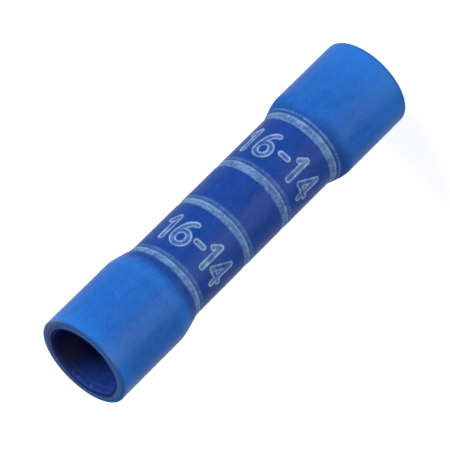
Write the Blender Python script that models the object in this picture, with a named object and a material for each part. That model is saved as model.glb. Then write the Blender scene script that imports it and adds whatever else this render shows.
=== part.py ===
"""Insulated butt splice connector: a nylon sleeve with a bell at each end, over a tinned copper barrel.

It stands on its lower mouth, with +Z along the tube. The origin is on the axis, where it stands.
Lengths are in metres and angles in radians.
"""

import math

import bmesh
import bpy

# Barrel, for wire of 1.5 to 2.5 square millimetres
BARREL_LENGTH = 0.0142
WIRE_BORE_DIAMETER = 0.0023
BARREL_WALL = 0.00079
BARREL_OUTER_CHAMFER = 0.00015
BARREL_COUNTERSINK = 0.0003

# Grip rings pressed into each half of the wire bore
GRIP_RING_COUNT = 3
GRIP_RING_WIDTH = 0.00036
GRIP_RING_DEPTH = 0.0001
GRIP_RING_FLANK = 0.00008
GRIP_RING_PITCH = 0.0014
FIRST_GRIP_RING_INSET = 0.0022

# Brazed seam where the rolled strip meets itself
SEAM_WIDTH = 0.00014
SEAM_DEPTH = 0.00009

# Wire stop: two punched dents at the middle of the barrel, facing each other
STOP_REACH = 0.0005
STOP_TIP_DIAMETER = 0.00056
STOP_ROOT_DIAMETER = 0.00136
DENT_DEPTH = 0.00042
DENT_FLOOR_DIAMETER = 0.00064
DENT_MOUTH_DIAMETER = 0.00124

# Sleeve, one tube of even wall, from its upper mouth down
UPPER_BELL_LENGTH = 0.0053
UPPER_CONE_LENGTH = 0.00245
BODY_LENGTH = 0.0118
LOWER_CONE_LENGTH = 0.00205
LOWER_BELL_LENGTH = 0.0051
INSULATION_ENTRY_DIAMETER = 0.00476
SLEEVE_WALL = 0.00075
BARREL_CLEARANCE = 0.000025
LIP_OUTER_ROUND = 0.00009
LIP_INNER_ROUND = 0.00014

# Stamped rings: each wide one has a thin line on its lower side
STAMP_SHIFT = 0.0001
INNER_BAND_OFFSET = 0.00175
OUTER_BAND_OFFSET = 0.0064
BAND_WIDTH = 0.00056
LINE_WIDTH = 0.00018
LINE_SPACE = 0.0001
STAMP_DEPTH = 0.00003
STAMP_FLANK = 0.00005

# Facets
SLEEVE_SIDES = 64
BARREL_SIDES = 48
DENT_SIDES = 16
CONE_STEPS = 8
ROUND_STEPS = 3
SHARP_EDGE_ANGLE = math.radians(40)

# Sizes that follow from those above
BARREL_RADIUS = WIRE_BORE_DIAMETER / 2 + BARREL_WALL
WIRE_BORE_RADIUS = WIRE_BORE_DIAMETER / 2
SEAT_RADIUS = BARREL_RADIUS + BARREL_CLEARANCE
BODY_RADIUS = SEAT_RADIUS + SLEEVE_WALL
ENTRY_RADIUS = INSULATION_ENTRY_DIAMETER / 2
BELL_RADIUS = ENTRY_RADIUS + SLEEVE_WALL
BODY_BOTTOM = LOWER_BELL_LENGTH + LOWER_CONE_LENGTH
BODY_TOP = BODY_BOTTOM + BODY_LENGTH
SLEEVE_TOP = BODY_TOP + UPPER_CONE_LENGTH + UPPER_BELL_LENGTH
BODY_MIDDLE = (BODY_BOTTOM + BODY_TOP) / 2
STAMP_MIDDLE = BODY_MIDDLE + STAMP_SHIFT


def clear_scene():
    for thing in list(bpy.data.objects):
        bpy.data.objects.remove(thing, do_unlink=True)


def principled(name, colour, roughness, metallic=0.0):
    material = bpy.data.materials.new(name)
    material.use_nodes = True
    shader = material.node_tree.nodes["Principled BSDF"]
    shader.inputs["Base Color"].default_value = (*colour, 1.0)
    shader.inputs["Roughness"].default_value = roughness
    shader.inputs["Metallic"].default_value = metallic
    material.diffuse_color = (*colour, 1.0)
    return material


def add_object(name, mesh, parent, height=0.0):
    thing = bpy.data.objects.new(name, mesh)
    bpy.context.scene.collection.objects.link(thing)
    thing.parent = parent
    thing.location.z = height
    return thing


def turned_mesh(name, profile, sides):
    """The closed profile, a list of (radius, height), turned once round the Z axis."""
    shape = bmesh.new()
    corners = [shape.verts.new((radius, 0.0, height)) for radius, height in profile]
    ring = [shape.edges.new(pair) for pair in zip(corners, corners[1:] + corners[:1])]
    bmesh.ops.spin(
        shape,
        geom=corners + ring,
        cent=(0.0, 0.0, 0.0),
        axis=(0.0, 0.0, 1.0),
        angle=math.tau,
        steps=sides,
        use_merge=True,
    )
    bmesh.ops.recalc_face_normals(shape, faces=shape.faces)
    mesh = bpy.data.meshes.new(name)
    shape.to_mesh(mesh)
    shape.free()
    mesh.shade_smooth()
    mesh.set_sharp_from_angle(angle=SHARP_EDGE_ANGLE)
    return mesh


def quarter_round(centre, size, start):
    """Points of a quarter circle turning clockwise from the angle start, as (radius, height)."""
    turns = [start - math.pi / 2 * step / ROUND_STEPS for step in range(ROUND_STEPS + 1)]
    return [(centre[0] + size * math.cos(t), centre[1] + size * math.sin(t)) for t in turns]


def belled(middle, end, height):
    """The radius at a height of a surface that swells along half a cosine, alike at both mouths."""
    above = (height - BODY_TOP) / UPPER_CONE_LENGTH
    below = (BODY_BOTTOM - height) / LOWER_CONE_LENGTH
    share = min(max(above, below, 0.0), 1.0)
    return middle + (end - middle) * (1 - math.cos(math.pi * share)) / 2


def cone_heights():
    """Heights down both cones, with the ends of each."""
    steps = [step / CONE_STEPS for step in range(CONE_STEPS + 1)]
    upper = [BODY_TOP + UPPER_CONE_LENGTH * (1 - step) for step in steps]
    lower = [BODY_BOTTOM - LOWER_CONE_LENGTH * step for step in steps]
    return upper + lower


def stamped_rings():
    """(bottom, top) of every stamped ring, from the top of the sleeve down."""
    offsets = (OUTER_BAND_OFFSET, INNER_BAND_OFFSET, -INNER_BAND_OFFSET, -OUTER_BAND_OFFSET)
    rings = []
    for offset in offsets:
        band_bottom = STAMP_MIDDLE + offset - BAND_WIDTH / 2
        line_top = band_bottom - LINE_SPACE
        rings.append((band_bottom, band_bottom + BAND_WIDTH))
        rings.append((line_top - LINE_WIDTH, line_top))
    return rings


def stamped_points():
    """(height, depth) at the corners of every stamped ring, which has sloping flanks."""
    points = []
    for bottom, top in stamped_rings():
        points.append((top, 0.0))
        points.append((top - STAMP_FLANK, STAMP_DEPTH))
        points.append((bottom + STAMP_FLANK, STAMP_DEPTH))
        points.append((bottom, 0.0))
    return points


def sleeve_profile():
    """The tube's wall: down the outside from the upper lip, round the lower lip and up the bore."""
    rings = stamped_rings()
    plain = [
        (height, 0.0)
        for height in cone_heights()
        if all(height < bottom - STAMP_FLANK or height > top + STAMP_FLANK for bottom, top in rings)
    ]
    outside = [
        (belled(BODY_RADIUS, BELL_RADIUS, height) - depth, height)
        for height, depth in sorted(plain + stamped_points(), reverse=True)
    ]
    bore = [(belled(SEAT_RADIUS, ENTRY_RADIUS, height), height) for height in reversed(cone_heights())]
    outer = BELL_RADIUS - LIP_OUTER_ROUND
    inner = ENTRY_RADIUS + LIP_INNER_ROUND
    return (
        quarter_round((outer, SLEEVE_TOP - LIP_OUTER_ROUND), LIP_OUTER_ROUND, math.pi / 2)
        + outside
        + quarter_round((outer, LIP_OUTER_ROUND), LIP_OUTER_ROUND, 0.0)
        + quarter_round((inner, LIP_INNER_ROUND), LIP_INNER_ROUND, -math.pi / 2)
        + bore
        + quarter_round((inner, SLEEVE_TOP - LIP_INNER_ROUND), LIP_INNER_ROUND, math.pi)
    )


def make_sleeve(parent):
    nylon = principled("blue_nylon", (0.028, 0.125, 0.46), 0.38)
    tube = turned_mesh("sleeve", sleeve_profile(), SLEEVE_SIDES)
    sleeve = add_object("insulating_sleeve", tube, parent)
    sleeve.data.materials.append(nylon)


def grip_ring_points():
    """(radius, height) up the wire bore past the grip rings of both halves."""
    end = BARREL_LENGTH / 2 - FIRST_GRIP_RING_INSET
    upper = [end - GRIP_RING_PITCH * step for step in reversed(range(GRIP_RING_COUNT))]
    middles = [-height for height in reversed(upper)] + upper
    half = GRIP_RING_WIDTH / 2
    points = []
    for middle in middles:
        points.append((WIRE_BORE_RADIUS, middle - half))
        points.append((WIRE_BORE_RADIUS + GRIP_RING_DEPTH, middle - half + GRIP_RING_FLANK))
        points.append((WIRE_BORE_RADIUS + GRIP_RING_DEPTH, middle + half - GRIP_RING_FLANK))
        points.append((WIRE_BORE_RADIUS, middle + half))
    return points


def barrel_profile():
    """The barrel's wall about its own middle: down the outside, then up the wire bore."""
    end = BARREL_LENGTH / 2
    return [
        (BARREL_RADIUS - BARREL_OUTER_CHAMFER, end),
        (BARREL_RADIUS, end - BARREL_OUTER_CHAMFER),
        (BARREL_RADIUS, BARREL_OUTER_CHAMFER - end),
        (BARREL_RADIUS - BARREL_OUTER_CHAMFER, -end),
        (WIRE_BORE_RADIUS + BARREL_COUNTERSINK, -end),
        (WIRE_BORE_RADIUS, BARREL_COUNTERSINK - end),
        *grip_ring_points(),
        (WIRE_BORE_RADIUS, end - BARREL_COUNTERSINK),
        (WIRE_BORE_RADIUS + BARREL_COUNTERSINK, end),
    ]


def add_helper(name, shape, parent):
    """A shape that only takes part in a Boolean, shown as wire and left out of renders."""
    bmesh.ops.recalc_face_normals(shape, faces=shape.faces)
    mesh = bpy.data.meshes.new(name)
    shape.to_mesh(mesh)
    shape.free()
    helper = add_object(name, mesh, parent)
    helper.display_type = "WIRE"
    helper.hide_render = True
    return helper


def seam_cutter(parent):
    """Two ridges along the barrel at +X that cut a narrow V down its outside and its bore."""
    shape = bmesh.new()
    reach = BARREL_LENGTH / 2 + BARREL_COUNTERSINK
    outer = [
        (BARREL_RADIUS - SEAM_DEPTH, 0.0),
        (BARREL_RADIUS + SEAM_DEPTH, SEAM_WIDTH),
        (BARREL_RADIUS + SEAM_DEPTH, -SEAM_WIDTH),
    ]
    inner = [
        (WIRE_BORE_RADIUS + GRIP_RING_DEPTH + SEAM_DEPTH, 0.0),
        (WIRE_BORE_RADIUS - SEAM_DEPTH, -SEAM_WIDTH),
        (WIRE_BORE_RADIUS - SEAM_DEPTH, SEAM_WIDTH),
    ]
    for outline in (outer, inner):
        foot = shape.faces.new([shape.verts.new((x, y, -reach)) for x, y in outline])
        raised = bmesh.ops.extrude_face_region(shape, geom=[foot])["geom"]
        lifted = [item for item in raised if isinstance(item, bmesh.types.BMVert)]
        bmesh.ops.translate(shape, verts=lifted, vec=(0.0, 0.0, 2 * reach))
    return add_helper("seam_cutter", shape, parent)


def facing_cones(name, outer, inner, parent):
    """Two cones on the Y axis, one at each side of the barrel, from (radius, diameter) inner to outer."""
    middle = (outer[0] + inner[0]) / 2
    shape = bmesh.new()
    for side in (1, -1):
        made = bmesh.ops.create_cone(
            shape,
            cap_ends=True,
            segments=DENT_SIDES,
            radius1=inner[1] / 2,
            radius2=outer[1] / 2,
            depth=outer[0] - inner[0],
        )
        for vertex in made["verts"]:
            x, y, z = vertex.co
            vertex.co = (x, side * (z + middle), side * y)
    return add_helper(name, shape, parent)


def add_boolean(thing, helper, operation):
    modifier = thing.modifiers.new(helper.name, "BOOLEAN")
    modifier.operation = operation
    modifier.solver = "EXACT"
    modifier.object = helper


def make_barrel(parent):
    tin = principled("tinned_copper", (0.62, 0.61, 0.59), 0.32, metallic=1.0)
    tube = turned_mesh("barrel", barrel_profile(), BARREL_SIDES)
    barrel = add_object("crimp_barrel", tube, parent, BODY_MIDDLE)
    barrel.data.materials.append(tin)
    dent_mouth = (BARREL_RADIUS + DENT_DEPTH / 4, DENT_MOUTH_DIAMETER)
    dent_floor = (BARREL_RADIUS - DENT_DEPTH, DENT_FLOOR_DIAMETER)
    stop_root = ((WIRE_BORE_RADIUS + dent_floor[0]) / 2, STOP_ROOT_DIAMETER)
    stop_tip = (WIRE_BORE_RADIUS - STOP_REACH, STOP_TIP_DIAMETER)
    stops = facing_cones("stop_bosses", stop_root, stop_tip, barrel)
    dents = facing_cones("dent_cutter", dent_mouth, dent_floor, barrel)
    add_boolean(barrel, stops, "UNION")
    add_boolean(barrel, dents, "DIFFERENCE")
    add_boolean(barrel, seam_cutter(barrel), "DIFFERENCE")


def main():
    clear_scene()
    splice = add_object("butt_splice", None, None)
    make_sleeve(splice)
    make_barrel(splice)


main()
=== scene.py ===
"""Looks of the insulated butt splice: a stamped translucent blue nylon sleeve over a tinned copper barrel.

Lengths are in metres, and angles in radians unless a comment says degrees. The part stands on its lower
mouth with +Z along the tube.
A turn round the tube is measured from -Y, the side that faces the camera, and grows towards +X.
"""

import math
from typing import NamedTuple

import bpy
import numpy as np
from mathutils import Matrix, Vector, noise


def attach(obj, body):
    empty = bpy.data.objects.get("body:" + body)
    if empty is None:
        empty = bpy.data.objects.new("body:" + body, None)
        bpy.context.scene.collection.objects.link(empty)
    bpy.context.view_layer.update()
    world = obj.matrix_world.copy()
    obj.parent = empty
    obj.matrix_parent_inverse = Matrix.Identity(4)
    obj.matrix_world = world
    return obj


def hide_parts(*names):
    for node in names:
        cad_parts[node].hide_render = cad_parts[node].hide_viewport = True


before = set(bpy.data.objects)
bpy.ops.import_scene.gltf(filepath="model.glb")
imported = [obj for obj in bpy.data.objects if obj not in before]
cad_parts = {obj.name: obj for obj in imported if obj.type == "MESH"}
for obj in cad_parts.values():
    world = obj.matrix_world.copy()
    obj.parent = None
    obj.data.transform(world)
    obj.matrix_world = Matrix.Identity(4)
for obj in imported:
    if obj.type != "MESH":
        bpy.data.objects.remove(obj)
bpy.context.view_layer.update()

MM = 0.001

# Sleeve, as the solid has it
UPPER_BELL_LENGTH = 5.3 * MM
UPPER_CONE_LENGTH = 2.45 * MM
BODY_LENGTH = 11.8 * MM
LOWER_CONE_LENGTH = 2.05 * MM
LOWER_BELL_LENGTH = 5.1 * MM
ENTRY_RADIUS = 2.38 * MM
SEAT_RADIUS = 1.965 * MM
SLEEVE_WALL = 0.75 * MM
LIP_OUTER_ROUND = 0.09 * MM
LIP_INNER_ROUND = 0.14 * MM
BODY_RADIUS = SEAT_RADIUS + SLEEVE_WALL
BELL_RADIUS = ENTRY_RADIUS + SLEEVE_WALL
BODY_BOTTOM = LOWER_BELL_LENGTH + LOWER_CONE_LENGTH
BODY_TOP = BODY_BOTTOM + BODY_LENGTH
BODY_MIDDLE = (BODY_BOTTOM + BODY_TOP) / 2
SLEEVE_TOP = BODY_TOP + UPPER_CONE_LENGTH + UPPER_BELL_LENGTH


class Band(NamedTuple):
    """A stamped ring: a wide band that fades at its upper edge, with a thin line and a smear below it."""

    middle: float
    width: float
    fade: float
    line_white: float
    smear_white: float

    @property
    def bottom(self):
        return self.middle - self.width / 2

    @property
    def top(self):
        return self.middle + self.width / 2


class Word(NamedTuple):
    """One stamping of the wire range: its middle's height and turn, and how widely its signs are spaced."""

    middle: float
    turn: float
    spacing: float


# Stamping, from the top down
BANDS = (
    Band(BODY_MIDDLE + 6.5 * MM, width=0.56 * MM, fade=0.18 * MM, line_white=0.52, smear_white=0.3),
    Band(BODY_MIDDLE + 1.85 * MM, width=0.56 * MM, fade=0.12 * MM, line_white=0.52, smear_white=0.3),
    Band(BODY_MIDDLE - 1.755 * MM, width=0.63 * MM, fade=0.08 * MM, line_white=0.52, smear_white=0.3),
    Band(BODY_MIDDLE - 6.33 * MM, width=0.56 * MM, fade=0.06 * MM, line_white=0.8, smear_white=0.08),
)
WORDS = (
    Word(BODY_MIDDLE + 4.18 * MM, turn=math.radians(2), spacing=1.0),
    Word(BODY_MIDDLE - 3.98 * MM, turn=math.radians(6), spacing=1.13),
)
WIRE_RANGE = "16-14"
STROKE_WIDTH = 0.38 * MM
LINE_WIDTH = 0.18 * MM
LINE_SPACE = 0.1 * MM
SMEAR_REACH = 0.06 * MM
STAMP_DEPTH = 0.02 * MM
STAMP_FLANK = 0.05 * MM
EDGE_LINE = 0.065 * MM
RING_SKEW = 0.02
PATCH_SIZE = 0.5 * MM
TATTER_SIZE = 0.12 * MM

# How white and how uneven the stamping is, as shares
BAND_RAGGEDNESS = 0.2
BAND_EDGE_WHITE = 0.4
SMEAR_UNEVENNESS = 0.3
WORD_WHITE = 0.5
WORD_UNEVENNESS = 0.6
WORD_EDGE_WHITE = 0.85
WORD_EDGE_UNEVENNESS = 0.4

# Barrel, as the solid has it
BARREL_LENGTH = 14.2 * MM
BARREL_RADIUS = 1.94 * MM
WIRE_BORE_RADIUS = 1.15 * MM
BARREL_OUTER_CHAMFER = 0.15 * MM
BARREL_COUNTERSINK = 0.3 * MM
GRIP_RING_COUNT = 3
GRIP_RING_WIDTH = 0.36 * MM
GRIP_RING_DEPTH = 0.1 * MM
GRIP_RING_FLANK = 0.08 * MM
GRIP_RING_PITCH = 1.4 * MM
FIRST_GRIP_RING_INSET = 2.2 * MM
SEAM_TURN = math.radians(90)
SEAM_HALF_WIDTH = 0.07 * MM
SEAM_DEPTH = 0.09 * MM
STOP_REACH = 0.5 * MM
STOP_TIP_RADIUS = 0.28 * MM
STOP_ROOT_RADIUS = 0.6 * MM
DENT_DEPTH = 0.42 * MM
DENT_FLOOR_RADIUS = 0.32 * MM
DENT_MOUTH_RADIUS = 0.56 * MM

# Meshes
OUTSIDE, LIP, BORE = range(3)
BAND_STEP = 0.042 * MM
BAND_MARGIN = 0.12 * MM
TEXT_STEP = 0.036 * MM
TEXT_REACH = 1.2 * MM
CONE_STEP = 0.14 * MM
PLAIN_STEP = 0.3 * MM
FRONT_HALF_TURN = math.radians(78)
FRONT_COLUMNS = 176
BACK_COLUMNS = 68
ROUND_STEPS = 5
LIP_STEPS = 8
BORE_STEPS = 40
FIRST_BORE_SHARE = 0.015
BARREL_COLUMNS = 120
SEAM_COLUMNS = (-2, -1, -0.5, 0, 0.5, 1, 2)
BARREL_STEP = 0.3 * MM
STOP_STEP = 0.06 * MM

# Zones of the sleeve's colour and roughness, a pair being the heights where a change begins and ends; some
# of them are painted shade and painted light
# Navy over the barrel, which keeps light from shining through the nylon; past the barrel's ends the navy is
# painted shade
NAVY_RISE = (5.5 * MM, 6.6 * MM)
NAVY_FALL = (20.05 * MM, 20.8 * MM)
# Painted shade: the navy reaches this much further down on the side at this turn
NAVY_SHADE_TURN = math.radians(-50)
NAVY_SHADE_SHIFT = 0.33 * MM
HOLLOW_RISE = (5.0 * MM, 5.6 * MM)
HOLLOW_FALL = (6.2 * MM, 6.7 * MM)
# Painted light: a glow on the bells behind each mouth, and a painted highlight round the shoulder at the top
# of the upper cone
LOW_LIGHT_REACH = 4.5 * MM
HIGH_LIGHT_REACH = 1.4 * MM
SHOULDER_HEIGHT = 21.1 * MM
SHOULDER_HALF_WIDTH = 0.6 * MM

# Colours of the mouths, with painted shade and painted highlights among them
# Painted shade on the lip's inner edge, fading out between these radii
LIP_INNER_HALF = (ENTRY_RADIUS + 0.13 * MM, ENTRY_RADIUS + 0.25 * MM)
LIP_OUTER_HALF = (ENTRY_RADIUS + 0.3 * MM, BELL_RADIUS - 0.1 * MM)
# Painted shade: the lip's dark inner edge reaches this much further out on the side at this turn
LIP_SHADE_WIDE_TURN = math.radians(-138)
LIP_SHADE_WIDENING = 0.13 * MM
# Painted shade: the lips and bore are darker and greyer on the side at this turn, the side turned from the
# light
SHADED_TURN = math.radians(135)
# Painted shade on the round of each lip, this wide
BORE_EDGE_WIDTH = 0.05 * MM
# Painted highlights just inside each mouth: a thin line and a faint ring
RIM_LINE_INSET = 0.1 * MM
RIM_LINE_HALF_WIDTH = 0.08 * MM
BORE_RING_INSET = 0.5 * MM
BORE_RING_HALF_WIDTH = 0.16 * MM
FLECK_FADE = (0.3 * MM, 1.6 * MM)
# Painted shade deeper in the bore, rising between these depths
DEEP_SHADE_RISE = (0.5 * MM, 2.6 * MM)

# Grain, bumps and depth of the finishes
CLOUD_SIZE = 0.5 * MM
SCUFF_SIZE = 0.15 * MM
GRAIN_SIZE = 0.09 * MM
SKIN_SIZE = 0.2 * MM
BORE_CLOUD_SIZE = 0.4 * MM
FLECK_SIZE = 0.16 * MM
STREAK_SIZE = 0.12 * MM
TIN_CLOUD_SIZE = 1.5 * MM
BUMP_HEIGHT = 0.008 * MM
SCATTER_REACH = 0.6 * MM

# Camera, fitted to the photograph's outline
IMAGE_SIDE = 450
PIXELS_PER_METRE = 16703
FOCAL_PIXELS = 4000
CAMERA_ELEVATION = math.radians(27.03)
CAMERA_ROLL = math.radians(225.25)
CENTRE_RIGHT_PIXELS = 3.02
CENTRE_UP_PIXELS = 5.96
SENSOR_WIDTH = 36.0
NEAREST_SEEN = 0.01
FARTHEST_SEEN = 5.0

# Studio
FLOOR_HALF_SIDE = 600 * MM
FLOOR_GLOW = 0.82
WORLD_GLOW = 0.1


def linear(red, green, blue):
    """A colour given as it looks on screen, 0 to 255, as the shader wants it."""
    def one(value):
        share = value / 255
        return share / 12.92 if share <= 0.04045 else ((share + 0.055) / 1.055) ** 2.4
    return (one(red), one(green), one(blue), 1.0)


# Colours of the nylon, in pairs where one runs into the other
CLEAR_BLUES = (linear(24, 101, 201), linear(54, 128, 222))
NAVY_BLUES = (linear(18, 65, 157), linear(44, 88, 180))
# Painted glow and painted highlight on the bells
PAINTED_LIGHT_BLUE = linear(56, 142, 240)
FROSTED_BLUES = (linear(70, 118, 182), linear(130, 174, 220))
STAMPED_EDGE = linear(188, 222, 250)
# Painted shade at the lip's inner edge, then the lip's pale face
LIP_INNER_BLUES = (linear(40, 62, 130), linear(86, 125, 197))
LIP_OUTER_BLUE = linear(50, 114, 200)
# Painted shade on the lip's side turned from the light
LIP_SHADE_GREYS = (linear(80, 102, 156), linear(102, 130, 190))
# Painted shade on the round of each lip
BORE_EDGE_SHADE_BLUE = linear(26, 44, 110)
BORE_BLUES = (linear(24, 50, 144), linear(50, 92, 198))
# Painted shade on the bore's side turned from the light
BORE_SHADE_BLUE = linear(20, 38, 122)
BORE_FLECK = linear(84, 122, 214)
# Painted highlights just inside the mouths
BORE_HIGHLIGHT_RING_BLUE = linear(54, 90, 184)
RIM_HIGHLIGHT_BLUE = linear(66, 106, 192)
# Painted shade deeper in the bore, greyer on its shaded side
DEEP_SHADE_BLUES = (linear(30, 42, 98), linear(46, 46, 124))

# Colours of the barrel and the studio, in the shader's own terms
TIN_GREYS = ((0.52, 0.51, 0.49, 1.0), (0.74, 0.73, 0.71, 1.0))
THIN_TIN = (0.66, 0.55, 0.45, 1.0)
BRAZING = (0.62, 0.47, 0.27, 1.0)
FLOOR_GREY = (0.8, 0.8, 0.8, 1.0)
WHITE = (1.0, 1.0, 1.0, 1.0)


def cosine_blend(share):
    share = np.clip(share, 0.0, 1.0)
    return (1 - np.cos(np.pi * share)) / 2


def belled(middle, end, height):
    """Radius of a surface that swells along half a cosine from the body to each bell."""
    above = (height - BODY_TOP) / UPPER_CONE_LENGTH
    below = (BODY_BOTTOM - height) / LOWER_CONE_LENGTH
    return middle + (end - middle) * cosine_blend(np.maximum(above, below))


def waver(turn, height, size, stretch, seed):
    """Smooth noise from -1 to 1 on the body's surface, its features stretched along the tube."""
    across = BODY_RADIUS / size
    along = 1 / (size * stretch)
    places = zip(across * np.sin(turn) + seed, across * np.cos(turn), along * height)
    return np.array([noise.noise(Vector(place)) for place in places])


# Glyphs as pen strokes in millimetres about the glyph's middle, x along the text and y up it

def arc(x, y, across, up, start, end, steps=14):
    """Points of an elliptic arc round (x, y), from start to end in degrees."""
    turns = np.radians(np.linspace(start, end, steps + 1))
    return [(x + across * math.cos(t), y + up * math.sin(t)) for t in turns]


GLYPHS = {
    "1": [[(-0.26, 0.5), (0.08, 0.9), (0.08, -0.9)]],
    "4": [[(0.5, -0.4), (-0.5, -0.4), (0.2, 0.9), (0.2, -0.9)]],
    "6": [arc(0.0, -0.38, 0.46, 0.52, 0, 360, 28), arc(0.36, -0.38, 0.82, 1.28, 96, 180)],
    "-": [[(-0.25, 0.0), (0.25, 0.0)]],
}
ADVANCE = {"1": 0.95, "4": 1.4, "6": 1.38, "-": 0.98}


def text_segments(spacing):
    """Every pen stroke of the wire range as segments, (x, y) to (x, y), in metres."""
    segments = []
    pen = -sum(ADVANCE[sign] for sign in WIRE_RANGE) / 2
    for sign in WIRE_RANGE:
        middle = (pen + ADVANCE[sign] / 2) * spacing
        for stroke in GLYPHS[sign]:
            points = [((x + middle) * MM, y * MM) for x, y in stroke]
            segments += zip(points, points[1:])
        pen += ADVANCE[sign]
    return segments


def distance_to_strokes(x, y, spacing):
    """How far each place is from the nearest pen stroke of the wire range."""
    nearest = np.full(x.shape, 1.0)
    for (ax, ay), (bx, by) in text_segments(spacing):
        dx, dy = bx - ax, by - ay
        along = np.clip(((x - ax) * dx + (y - ay) * dy) / (dx * dx + dy * dy), 0.0, 1.0)
        nearest = np.minimum(nearest, np.hypot(x - ax - along * dx, y - ay - along * dy))
    return nearest


def inside_share(distance, flank=STAMP_FLANK):
    """1 well inside an edge and 0 outside it, with a ramp of one flank between them."""
    return np.clip(distance / flank, 0.0, 1.0)


def edge_share(distance):
    """1 on an edge, fading to both sides of it."""
    return np.exp(-2 * (distance / EDGE_LINE) ** 2)


def stamp_ring(band, level, coarse, fine):
    """(pressed, whitening, edge brightness) of one ring, each a share, at heights that follow its skew."""
    from_bottom = level - band.bottom
    from_top = band.top - level
    ragged_top = from_top + band.fade * BAND_RAGGEDNESS * (coarse + fine)
    from_line_bottom = from_bottom + LINE_SPACE + LINE_WIDTH
    line = np.minimum(-from_bottom - LINE_SPACE, from_line_bottom)
    smear = np.minimum(-from_bottom, from_line_bottom + SMEAR_REACH)
    pressed = inside_share(np.minimum(from_bottom, from_top)) + inside_share(line)
    white = np.maximum.reduce([
        np.minimum(inside_share(from_bottom), inside_share(ragged_top, band.fade)),
        band.line_white * inside_share(line),
        band.smear_white * (1 + SMEAR_UNEVENNESS * coarse) * inside_share(smear),
    ])
    return pressed, white, BAND_EDGE_WHITE * edge_share(from_bottom - 1.5 * EDGE_LINE)


def stamp_word(word, turn, level, coarse):
    """(pressed, whitening, edge brightness) of one stamping of the wire range, each a share."""
    across = BODY_RADIUS * (word.turn - turn)
    distance = STROKE_WIDTH / 2 - distance_to_strokes(across, word.middle - level, word.spacing)
    pressed = inside_share(distance)
    white = (WORD_WHITE + WORD_UNEVENNESS * coarse) * pressed
    edge = (WORD_EDGE_WHITE + WORD_EDGE_UNEVENNESS * coarse) * edge_share(distance - EDGE_LINE / 2)
    return pressed, white, edge


def stamp(turn, height):
    """(relief in metres, whitening, edge brightness) of the stamped rings and words at each place."""
    turn = (turn + math.pi) % math.tau - math.pi
    coarse = waver(turn, height, PATCH_SIZE, stretch=1.0, seed=3.0)
    fine = waver(turn, height, TATTER_SIZE, stretch=3.0, seed=11.0)
    level = height - RING_SKEW * BODY_RADIUS * np.sin(turn)
    marks = [stamp_ring(band, level, coarse, fine) for band in BANDS]
    marks += [stamp_word(word, turn, level, coarse) for word in WORDS]
    pressed, white, edge = zip(*marks)
    none = np.zeros_like(height)
    return -STAMP_DEPTH * sum(pressed), np.maximum.reduce([none, *white]), np.maximum.reduce([none, *edge])


def fine_zones():
    """(step, spans) of the heights where the outside needs more rows than a plain stretch does."""
    under = LINE_SPACE + LINE_WIDTH + BAND_MARGIN
    words = [(word.middle - TEXT_REACH, word.middle + TEXT_REACH) for word in WORDS]
    bands = [(band.bottom - under, band.top + 2 * BAND_MARGIN) for band in BANDS]
    cones = [(BODY_TOP, BODY_TOP + UPPER_CONE_LENGTH), (BODY_BOTTOM - LOWER_CONE_LENGTH, BODY_BOTTOM)]
    return [(TEXT_STEP, words), (BAND_STEP, bands), (CONE_STEP, cones)]


def outer_heights():
    """Heights down the outside, close together where it is stamped."""
    zones = fine_zones()
    heights = []
    height = SLEEVE_TOP - LIP_OUTER_ROUND - PLAIN_STEP / 4
    while height > LIP_OUTER_ROUND + PLAIN_STEP / 4:
        heights.append(height)
        steps = [step for step, spans in zones if any(low < height <= high for low, high in spans)]
        below = height - min(steps, default=PLAIN_STEP)
        tops = [high for _, spans in zones for _, high in spans if below < high < height]
        height = max(tops, default=below)
    return heights


def quarter_round(radius, height, size, start):
    """(radius, height) down a quarter circle that turns clockwise from start degrees."""
    turns = np.radians(np.linspace(start, start - 90, ROUND_STEPS + 1))
    return [(radius + size * math.cos(t), height + size * math.sin(t)) for t in turns]


def sleeve_rows():
    """(radius, height, kind) round the section of the tube."""
    outer = BELL_RADIUS - LIP_OUTER_ROUND
    inner = ENTRY_RADIUS + LIP_INNER_ROUND
    rows = [(r, h, LIP) for r, h in quarter_round(outer, SLEEVE_TOP - LIP_OUTER_ROUND, LIP_OUTER_ROUND, 90)]
    rows += [(float(belled(BODY_RADIUS, BELL_RADIUS, h)), h, OUTSIDE) for h in outer_heights()]
    rows += [(r, h, LIP) for r, h in quarter_round(outer, LIP_OUTER_ROUND, LIP_OUTER_ROUND, 0)]
    face = np.linspace(outer, inner, LIP_STEPS + 1)[1:-1]
    rows += [(r, 0.0, LIP) for r in face]
    rows += [(r, h, BORE) for r, h in quarter_round(inner, LIP_INNER_ROUND, LIP_INNER_ROUND, -90)]
    share = cosine_blend(np.linspace(FIRST_BORE_SHARE, 1 - FIRST_BORE_SHARE, BORE_STEPS))
    bore = LIP_INNER_ROUND + (SLEEVE_TOP - 2 * LIP_INNER_ROUND) * share
    rows += [(float(belled(SEAT_RADIUS, ENTRY_RADIUS, h)), h, BORE) for h in bore]
    bore_top = SLEEVE_TOP - LIP_INNER_ROUND
    rows += [(r, h, BORE) for r, h in quarter_round(inner, bore_top, LIP_INNER_ROUND, 180)]
    rows += [(r, SLEEVE_TOP, LIP) for r in reversed(face)]
    return rows


def sleeve_turns():
    """Turns of the sleeve's columns, close together over the front, where the words are."""
    front = np.linspace(-FRONT_HALF_TURN, FRONT_HALF_TURN, FRONT_COLUMNS + 1)
    back = np.linspace(FRONT_HALF_TURN, math.tau - FRONT_HALF_TURN, BACK_COLUMNS + 1)
    return np.concatenate([front, back[1:-1]])


def spread(rows, turns):
    """Radius, height, kind and turn of every point of a turned mesh, row by row."""
    radius, height, kind = (np.repeat(column, len(turns)) for column in np.array(rows).T)
    return radius, height, kind, np.tile(turns, len(rows))


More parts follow.
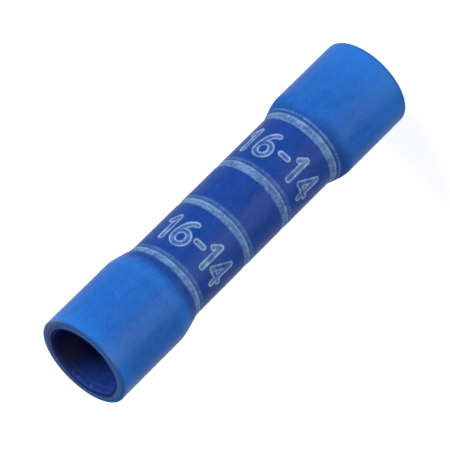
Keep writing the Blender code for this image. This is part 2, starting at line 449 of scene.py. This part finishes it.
def add_turned(name, radius, turn, height, columns):
    """A closed mesh through rows of points round the Z axis, its last row joined to its first."""
    points = np.column_stack([radius * np.sin(turn), -radius * np.cos(turn), height])
    count = len(points) // columns
    faces = []
    for row in range(count):
        this = row * columns
        after = (row + 1) % count * columns
        for column in range(columns):
            beside = (column + 1) % columns
            faces.append((this + column, after + column, after + beside, this + beside))
    mesh = bpy.data.meshes.new(name)
    mesh.from_pydata(points.tolist(), [], faces)
    mesh.shade_smooth()
    piece = bpy.data.objects.new(name, mesh)
    bpy.context.scene.collection.objects.link(piece)
    return piece


def add_attribute(piece, name, values):
    layer = piece.data.attributes.new(name, "FLOAT", "POINT")
    layer.data.foreach_set("value", np.asarray(values, np.float32))


def make_sleeve():
    """The stamped tube as one closed mesh, with what its finish needs to know at each point."""
    turns = sleeve_turns()
    radius, height, kind, turn = spread(sleeve_rows(), turns)
    relief, white, edge = (np.zeros(len(turn)) for _ in range(3))
    outside = kind == OUTSIDE
    relief[outside], white[outside], edge[outside] = stamp(turn[outside], height[outside])
    sleeve = add_turned("nylon_sleeve", radius + relief, turn, height, len(turns))
    add_attribute(sleeve, "white", white)
    add_attribute(sleeve, "edge", edge)
    add_attribute(sleeve, "lip", kind == LIP)
    add_attribute(sleeve, "bore", kind == BORE)
    sleeve.data.materials.append(nylon_material())
    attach(sleeve, "root")
    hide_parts("insulating_sleeve")


def grip_ring_share(height):
    """1 on the floor of a grip ring and 0 between them, at a height from the barrel's middle."""
    share = np.zeros_like(height)
    for step in range(GRIP_RING_COUNT):
        middle = BARREL_LENGTH / 2 - FIRST_GRIP_RING_INSET - step * GRIP_RING_PITCH
        inside = GRIP_RING_WIDTH / 2 - np.abs(np.abs(height) - middle)
        share = np.maximum(share, np.clip(inside / GRIP_RING_FLANK, 0.0, 1.0))
    return share


def barrel_heights(inset):
    """Heights above the barrel's middle, down one wall, close together at the stops and the grip rings."""
    half = BARREL_LENGTH / 2 - inset
    heights = []
    height = half
    while height > -half:
        heights.append(height)
        near_ring = any(grip_ring_share(np.array([height - step])) > 0 for step in (0, STOP_STEP))
        fine = abs(height) < STOP_ROOT_RADIUS or near_ring
        height -= STOP_STEP if fine else min(BARREL_STEP, max(STOP_STEP, abs(height) - STOP_ROOT_RADIUS))
    return heights + [-half]


def barrel_rows():
    """(radius, height, kind) round the section of the barrel, with heights from its middle."""
    half = BARREL_LENGTH / 2
    outer = BARREL_RADIUS - BARREL_OUTER_CHAMFER
    inner = WIRE_BORE_RADIUS + BARREL_COUNTERSINK
    rows = [(outer, half, OUTSIDE)]
    rows += [(BARREL_RADIUS, height, OUTSIDE) for height in barrel_heights(BARREL_OUTER_CHAMFER)]
    rows += [(outer, -half, OUTSIDE), (inner, -half, BORE)]
    rows += [(WIRE_BORE_RADIUS, height, BORE) for height in reversed(barrel_heights(BARREL_COUNTERSINK))]
    rows += [(inner, half, BORE)]
    return rows


def barrel_turns():
    """Turns of the barrel's columns, evenly spaced but for some more at the seam."""
    even = np.linspace(0, math.tau, BARREL_COLUMNS, endpoint=False)
    near_seam = np.arcsin(np.array(SEAM_COLUMNS) * SEAM_HALF_WIDTH / BARREL_RADIUS)
    return np.unique(np.concatenate([even, SEAM_TURN + near_seam]))


def seam_share(radius, turn):
    """1 along the middle of the seam and 0 beside it."""
    off_seam = np.abs(radius * np.sin(turn - SEAM_TURN)) / SEAM_HALF_WIDTH
    return np.clip(1 - off_seam, 0.0, 1.0) * (np.sin(turn) > 0)


def cone_share(distance, tip, root):
    """1 within the tip's radius and 0 beyond the root's."""
    return np.clip((root - distance) / (root - tip), 0.0, 1.0)


def make_barrel():
    """The tinned tube with its seam, punched stops and grip rings, finer than the solid has it."""
    turns = barrel_turns()
    radius, height, kind, turn = spread(barrel_rows(), turns)
    in_bore = kind == BORE
    off_stop = np.hypot(radius * np.sin(turn), height)
    stop = cone_share(off_stop, STOP_TIP_RADIUS, STOP_ROOT_RADIUS)
    dent = cone_share(off_stop, DENT_FLOOR_RADIUS, DENT_MOUTH_RADIUS)
    seam = seam_share(radius, turn)
    bore_relief = GRIP_RING_DEPTH * grip_ring_share(height) - STOP_REACH * stop
    relief = np.where(in_bore, SEAM_DEPTH, -SEAM_DEPTH) * seam
    relief += np.where(in_bore, bore_relief, -DENT_DEPTH * dent)
    barrel = add_turned("tin_barrel", radius + relief, turn, height + BODY_MIDDLE, len(turns))
    add_attribute(barrel, "seam", seam)
    barrel.data.materials.append(tin_material())
    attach(barrel, "root")
    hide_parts("crimp_barrel")


class Nodes:
    """Short calls for one material's node tree."""

    def __init__(self, name):
        self.material = bpy.data.materials.new(name)
        self.material.use_nodes = True
        self.tree = self.material.node_tree
        self.shader = self.tree.nodes["Principled BSDF"]

    def add(self, kind, values=None, **settings):
        node = self.tree.nodes.new(kind)
        for name, value in settings.items():
            setattr(node, name, value)
        for name, value in (values or {}).items():
            self.feed(node.inputs[name], value)
        return node

    def feed(self, socket, value):
        if isinstance(value, bpy.types.NodeSocket):
            self.tree.links.new(value, socket)
        else:
            socket.default_value = value

    def set(self, name, value):
        """Gives a socket of the shader a constant or a link."""
        self.feed(self.shader.inputs[name], value)

    def math(self, operation, first, second=0.0, clamp=False):
        values = {0: first, 1: second}
        return self.add("ShaderNodeMath", values, operation=operation, use_clamp=clamp).outputs[0]

    def vector_math(self, operation, first, second=(0.0, 0.0, 0.0)):
        """The outputs of a vector operation: Value for a product or a length, Vector for the rest."""
        return self.add("ShaderNodeVectorMath", {0: first, 1: second}, operation=operation).outputs

    def apart(self, first, second):
        """How far two values are from each other."""
        return self.math("ABSOLUTE", self.math("SUBTRACT", first, second))

    def mix(self, share, first, second):
        node = self.add("ShaderNodeMix", data_type="RGBA")
        self.feed(node.inputs["Factor"], share)
        self.feed(node.inputs["A"], first)
        self.feed(node.inputs["B"], second)
        return node.outputs["Result"]

    def attribute(self, name):
        return self.add("ShaderNodeAttribute", attribute_name=name).outputs["Fac"]

    def stretched(self, vector, along):
        """The place drawn out along the tube, so that noise on it makes streaks."""
        values = {"Vector": vector, "Scale": (1.0, 1.0, 1 / along)}
        return self.add("ShaderNodeMapping", values).outputs["Vector"]

    def noise(self, vector, size, detail=2.0, roughness=0.5):
        values = {"Vector": vector, "Scale": 1 / size, "Detail": detail, "Roughness": roughness}
        return self.add("ShaderNodeTexNoise", values).outputs["Fac"]

    def ramp(self, value, low, high, to_low=0.0, to_high=1.0):
        values = {"Value": value, "From Min": low, "From Max": high, "To Min": to_low, "To Max": to_high}
        return self.add("ShaderNodeMapRange", values, interpolation_type="SMOOTHSTEP").outputs["Result"]

    def fall(self, value, low, high):
        return self.ramp(value, low, high, to_low=1.0, to_high=0.0)

    def bump(self, height, strength):
        values = {"Strength": strength, "Distance": BUMP_HEIGHT, "Height": height}
        self.set("Normal", self.add("ShaderNodeBump", values).outputs["Normal"])


def side_share(nodes, place, turn, start, full):
    """1 on the side that faces a turn, rising between two distances towards it in entry radii."""
    towards = (math.sin(turn), -math.cos(turn), 0.0)
    reach = nodes.vector_math("DOT_PRODUCT", place, towards)["Value"]
    return nodes.ramp(reach, start * ENTRY_RADIUS, full * ENTRY_RADIUS)


def off_axis(nodes, place):
    """Distance from the tube's axis."""
    flat = nodes.vector_math("MULTIPLY", place, (1.0, 1.0, 0.0))["Vector"]
    return nodes.vector_math("LENGTH", flat)["Value"]


def barrel_and_shade_share(nodes, place, height):
    """1 over the barrel, which keeps light from shining through the nylon, and over painted shade past the
    barrel's ends that reaches further down on one side.
    """
    shift = nodes.math("MULTIPLY", side_share(nodes, place, NAVY_SHADE_TURN, 0.4, 1.1), NAVY_SHADE_SHIFT)
    rise = nodes.ramp(nodes.math("ADD", height, shift), *NAVY_RISE)
    return nodes.math("MULTIPLY", rise, nodes.fall(height, *NAVY_FALL))


def painted_light_share(nodes, height):
    """Painted light: how much glow is painted on the bells behind each mouth, and a painted highlight at the
    top of the upper cone.
    """
    low_mouth = nodes.ramp(height, 0.0, LOW_LIGHT_REACH, to_low=0.55, to_high=0.0)
    high_mouth = nodes.ramp(height, SLEEVE_TOP - HIGH_LIGHT_REACH, SLEEVE_TOP, to_high=0.5)
    off_shoulder = nodes.apart(height, SHOULDER_HEIGHT)
    shoulder = nodes.ramp(off_shoulder, 0.0, SHOULDER_HALF_WIDTH, to_low=0.28, to_high=0.0)
    return nodes.math("MAXIMUM", nodes.math("MAXIMUM", low_mouth, high_mouth), shoulder)


def outer_colour(nodes, place, height):
    """Clear blue on the bells and navy over the barrel, with painted shade past the barrel's ends and a
    painted glow and highlight on the bells.
    """
    cloud = nodes.noise(nodes.stretched(place, 2.0), CLOUD_SIZE, detail=3.0)
    scuff = nodes.noise(nodes.stretched(place, 1.6), SCUFF_SIZE, detail=2.0, roughness=0.7)
    mottle = nodes.math("ADD", cloud, nodes.ramp(scuff, 0.2, 0.8, to_low=-0.22, to_high=0.22), clamp=True)
    clear = nodes.mix(mottle, *CLEAR_BLUES)
    navy = nodes.mix(mottle, *NAVY_BLUES)
    # Navy over the barrel, with painted shade past its ends and further down one side
    blue = nodes.mix(barrel_and_shade_share(nodes, place, height), clear, navy)
    # Painted glow behind the mouths and painted highlight on the shoulder
    return nodes.mix(painted_light_share(nodes, height), blue, PAINTED_LIGHT_BLUE)


def lip_colour(nodes, place):
    """The end of the wall: painted shade at its inner edge, reaching further out on one side, then pale,
    then bluer, and greyer and darker on the side turned from the light, which is painted shade too.
    """
    radius = off_axis(nodes, place)
    # Painted shade on the lip's inner edge, wider on one side
    shade_widening = nodes.math("MULTIPLY", side_share(nodes, place, LIP_SHADE_WIDE_TURN, 0.7, 1.0), LIP_SHADE_WIDENING)
    inner_half = nodes.ramp(nodes.math("SUBTRACT", radius, shade_widening), *LIP_INNER_HALF)
    outer_half = nodes.ramp(radius, *LIP_OUTER_HALF)
    blue = nodes.mix(outer_half, nodes.mix(inner_half, *LIP_INNER_BLUES), LIP_OUTER_BLUE)
    # Painted shade on the lip's side turned from the light
    shaded = nodes.math("MULTIPLY", side_share(nodes, place, SHADED_TURN, 0.0, 0.6), inner_half)
    return nodes.mix(shaded, blue, nodes.mix(outer_half, *LIP_SHADE_GREYS))


def near_bore_colour(nodes, place, inset, shaded):
    """Mottled blue with light flecks just inside a mouth, with painted shade on the side turned from the
    light.
    """
    mottle = nodes.noise(nodes.stretched(place, 2.0), BORE_CLOUD_SIZE, detail=3.0, roughness=0.6)
    speck = nodes.noise(nodes.stretched(place, 1.5), FLECK_SIZE, detail=2.0)
    near_mouth = nodes.ramp(inset, *FLECK_FADE, to_low=1.0, to_high=0.2)
    flecks = nodes.math("MULTIPLY", nodes.ramp(speck, 0.54, 0.72, to_high=0.6), near_mouth)
    blue = nodes.mix(flecks, nodes.mix(mottle, *BORE_BLUES), BORE_FLECK)
    return nodes.mix(shaded, blue, BORE_SHADE_BLUE)


def bore_colour(nodes, place, height):
    """Painted shade on the round of each lip, then a painted highlight line, a faint painted highlight ring
    kept off the shaded side, and flecks, and painted shade deeper in.
    """
    inset = nodes.math("SUBTRACT", SLEEVE_TOP / 2, nodes.apart(height, SLEEVE_TOP / 2))
    # Painted shade on the bore's side turned from the light
    shaded = side_share(nodes, place, SHADED_TURN, 0.58, 0.92)
    near = near_bore_colour(nodes, place, inset, shaded)
    # Painted shade deeper in the bore
    blue = nodes.mix(nodes.ramp(inset, *DEEP_SHADE_RISE), near, nodes.mix(shaded, *DEEP_SHADE_BLUES))
    # Painted highlight: a faint ring, kept off the shaded side
    ring = nodes.fall(nodes.apart(inset, BORE_RING_INSET), 0.0, BORE_RING_HALF_WIDTH)
    blue = nodes.mix(nodes.math("MULTIPLY", ring, nodes.math("SUBTRACT", 1.0, shaded)), blue, BORE_HIGHLIGHT_RING_BLUE)
    # Painted highlight: a thin line just inside the lip
    off_highlight_line = nodes.apart(inset, RIM_LINE_INSET)
    line = nodes.ramp(off_highlight_line, 0.0, RIM_LINE_HALF_WIDTH, to_low=0.12, to_high=0.0)
    blue = nodes.mix(line, blue, RIM_HIGHLIGHT_BLUE)
    # Painted shade on the round of each lip
    return nodes.mix(nodes.fall(inset, 0.0, BORE_EDGE_WIDTH), blue, BORE_EDGE_SHADE_BLUE)


def frost_grain(nodes, place, cloud):
    """Speckle of the stamped marks, from 0 to 1."""
    speck = nodes.noise(nodes.stretched(place, 2.5), GRAIN_SIZE, detail=3.0, roughness=0.7)
    fine = nodes.ramp(speck, 0.32, 0.68, to_high=0.6)
    coarse = nodes.ramp(cloud, 0.3, 0.7, to_low=0.1, to_high=0.5)
    return nodes.math("ADD", fine, coarse, clamp=True)


def nylon_colour(nodes, place, height, grain, white):
    """The outside, bore and lips, each where it belongs, with the stamping whitened over them."""
    blue = outer_colour(nodes, place, height)
    blue = nodes.mix(nodes.attribute("bore"), blue, bore_colour(nodes, place, height))
    blue = nodes.mix(nodes.attribute("lip"), blue, lip_colour(nodes, place))
    blue = nodes.mix(white, blue, nodes.mix(grain, *FROSTED_BLUES))
    edge = nodes.math("MULTIPLY", nodes.attribute("edge"), nodes.math("ADD", grain, 0.4, clamp=True))
    return nodes.mix(edge, blue, STAMPED_EDGE)


def nylon_roughness(nodes, height, cloud, white):
    """Satin, and rougher where it is stamped, in the bore and in the hollow of the lower cone."""
    rough = nodes.ramp(cloud, 0.2, 0.8, to_low=0.38, to_high=0.46)
    rough = nodes.math("ADD", rough, nodes.math("MULTIPLY", white, 0.2))
    rough = nodes.math("ADD", rough, nodes.math("MULTIPLY", nodes.attribute("bore"), 0.4))
    hollow = nodes.math("MULTIPLY", nodes.ramp(height, *HOLLOW_RISE), nodes.fall(height, *HOLLOW_FALL))
    return nodes.math("ADD", rough, nodes.math("MULTIPLY", hollow, 0.35))


def nylon_material():
    """Translucent blue nylon, whitened where it is stamped, with a sheen drawn out round the tube."""
    nodes = Nodes("blue_nylon")
    place = nodes.add("ShaderNodeTexCoord").outputs["Object"]
    height = nodes.add("ShaderNodeSeparateXYZ", {"Vector": place}).outputs["Z"]
    cloud = nodes.noise(place, CLOUD_SIZE, detail=2.0)
    grain = frost_grain(nodes, place, cloud)
    white = nodes.math("MULTIPLY", nodes.attribute("white"), nodes.math("ADD", grain, 0.25, clamp=True))
    nodes.set("Base Color", nylon_colour(nodes, place, height, grain, white))
    nodes.set("Roughness", nylon_roughness(nodes, height, cloud, white))
    nodes.bump(nodes.noise(place, SKIN_SIZE, detail=3.0), strength=0.25)
    around = nodes.add("ShaderNodeTangent", direction_type="RADIAL", axis="Z")
    nodes.set("Tangent", around.outputs["Tangent"])
    nodes.set("Anisotropic", 0.75)
    nodes.set("Anisotropic Rotation", 0.25)
    nodes.set("IOR", 1.5)
    nodes.set("Specular IOR Level", 0.055)
    outside = nodes.math("SUBTRACT", 1.0, nodes.attribute("bore"))
    nodes.set("Subsurface Weight", nodes.math("MULTIPLY", outside, 0.3))
    nodes.set("Subsurface Radius", (0.25, 0.5, 1.0))
    nodes.set("Subsurface Scale", SCATTER_REACH)
    return nodes.material


def tin_material():
    """Tin plate over copper: satin, with drawn streaks along the barrel and brazing metal in the seam."""
    nodes = Nodes("tinned_copper")
    place = nodes.add("ShaderNodeTexCoord").outputs["Object"]
    streaks = nodes.noise(nodes.stretched(place, 12.0), STREAK_SIZE, detail=4.0, roughness=0.6)
    cloud = nodes.noise(place, TIN_CLOUD_SIZE, detail=2.0)
    tin = nodes.mix(streaks, *TIN_GREYS)
    tin = nodes.mix(nodes.ramp(cloud, 0.45, 0.8, to_high=0.35), tin, THIN_TIN)
    nodes.set("Base Color", nodes.mix(nodes.attribute("seam"), tin, BRAZING))
    nodes.set("Roughness", nodes.ramp(streaks, 0.2, 0.8, to_low=0.26, to_high=0.42))
    nodes.set("Metallic", 1.0)
    nodes.bump(streaks, strength=0.3)
    return nodes.material


def floor_material():
    """Plain pale floor that looks white to the camera and in reflections, and keeps a soft shadow."""
    nodes = Nodes("pale_floor")
    nodes.set("Base Color", FLOOR_GREY)
    nodes.set("Roughness", 1.0)
    nodes.set("Specular IOR Level", 0.0)
    nodes.set("Emission Color", WHITE)
    rays = nodes.add("ShaderNodeLightPath").outputs
    reflected = nodes.math("MAXIMUM", rays["Is Glossy Ray"], rays["Is Transmission Ray"])
    seen = nodes.math("MAXIMUM", rays["Is Camera Ray"], reflected)
    nodes.set("Emission Strength", nodes.math("MULTIPLY", seen, FLOOR_GLOW))
    return nodes.material


def make_floor():
    half = FLOOR_HALF_SIDE
    corners = [(-half, -half, 0), (half, -half, 0), (half, half, 0), (-half, half, 0)]
    mesh = bpy.data.meshes.new("floor")
    mesh.from_pydata(corners, [], [(0, 1, 2, 3)])
    mesh.materials.append(floor_material())
    floor = bpy.data.objects.new("floor", mesh)
    bpy.context.scene.collection.objects.link(floor)


def area_light(name, turn, elevation, distance, size, power, only_gloss=False):
    """A softbox aimed at the middle of the part, its turn round the tube and its elevation in degrees."""
    turn = math.radians(turn)
    elevation = math.radians(elevation)
    level = math.cos(elevation)
    away = Vector((math.sin(turn) * level, -math.cos(turn) * level, math.sin(elevation)))
    lamp = bpy.data.lights.new(name, "AREA")
    lamp.shape = "RECTANGLE"
    lamp.size, lamp.size_y = size
    lamp.energy = power
    holder = bpy.data.objects.new(name, lamp)
    holder.location = Vector((0, 0, SLEEVE_TOP / 2)) + away * distance
    holder.rotation_euler = (-away).to_track_quat("-Z", "Y").to_euler()
    holder.visible_diffuse = not only_gloss
    bpy.context.scene.collection.objects.link(holder)


def make_lights():
    area_light("key", turn=72, elevation=40, distance=0.25, size=(0.12, 0.12), power=0.32)
    area_light("sheen", turn=-36, elevation=10, distance=0.2, size=(0.16, 0.16), power=2.2, only_gloss=True)
    area_light("front", turn=0, elevation=2.7, distance=0.3, size=(0.24, 0.055), power=0.39)
    area_light("back", turn=-135, elevation=6, distance=0.3, size=(0.2, 0.2), power=0.25)


def make_world():
    world = bpy.data.worlds.new("studio")
    world.use_nodes = True
    bpy.context.scene.world = world
    backdrop = world.node_tree.nodes["Background"]
    backdrop.inputs["Color"].default_value = WHITE
    backdrop.inputs["Strength"].default_value = WORLD_GLOW


def make_camera():
    """The photograph's view, from the -Y side and above, rolled to put the upper mouth at the lower left."""
    level = Vector((1, 0, 0))
    steep = Vector((0, math.sin(CAMERA_ELEVATION), math.cos(CAMERA_ELEVATION)))
    back = Vector((0, -math.cos(CAMERA_ELEVATION), math.sin(CAMERA_ELEVATION)))
    right = level * math.cos(CAMERA_ROLL) + steep * math.sin(CAMERA_ROLL)
    up = steep * math.cos(CAMERA_ROLL) - level * math.sin(CAMERA_ROLL)
    aim = Vector((0, 0, SLEEVE_TOP / 2))
    aim -= right * CENTRE_RIGHT_PIXELS / PIXELS_PER_METRE
    aim -= up * CENTRE_UP_PIXELS / PIXELS_PER_METRE
    lens = bpy.data.cameras.new("camera")
    lens.sensor_width = SENSOR_WIDTH
    lens.lens = SENSOR_WIDTH * FOCAL_PIXELS / IMAGE_SIDE
    lens.clip_start = NEAREST_SEEN
    lens.clip_end = FARTHEST_SEEN
    camera = bpy.data.objects.new("camera", lens)
    turned = Matrix((right, up, back)).transposed().to_4x4()
    camera.matrix_world = Matrix.Translation(aim + back * FOCAL_PIXELS / PIXELS_PER_METRE) @ turned
    bpy.context.scene.collection.objects.link(camera)
    bpy.context.scene.camera = camera


bpy.context.scene.view_settings.view_transform = "Standard"
make_camera()
make_world()
make_lights()
make_floor()
make_sleeve()
make_barrel()
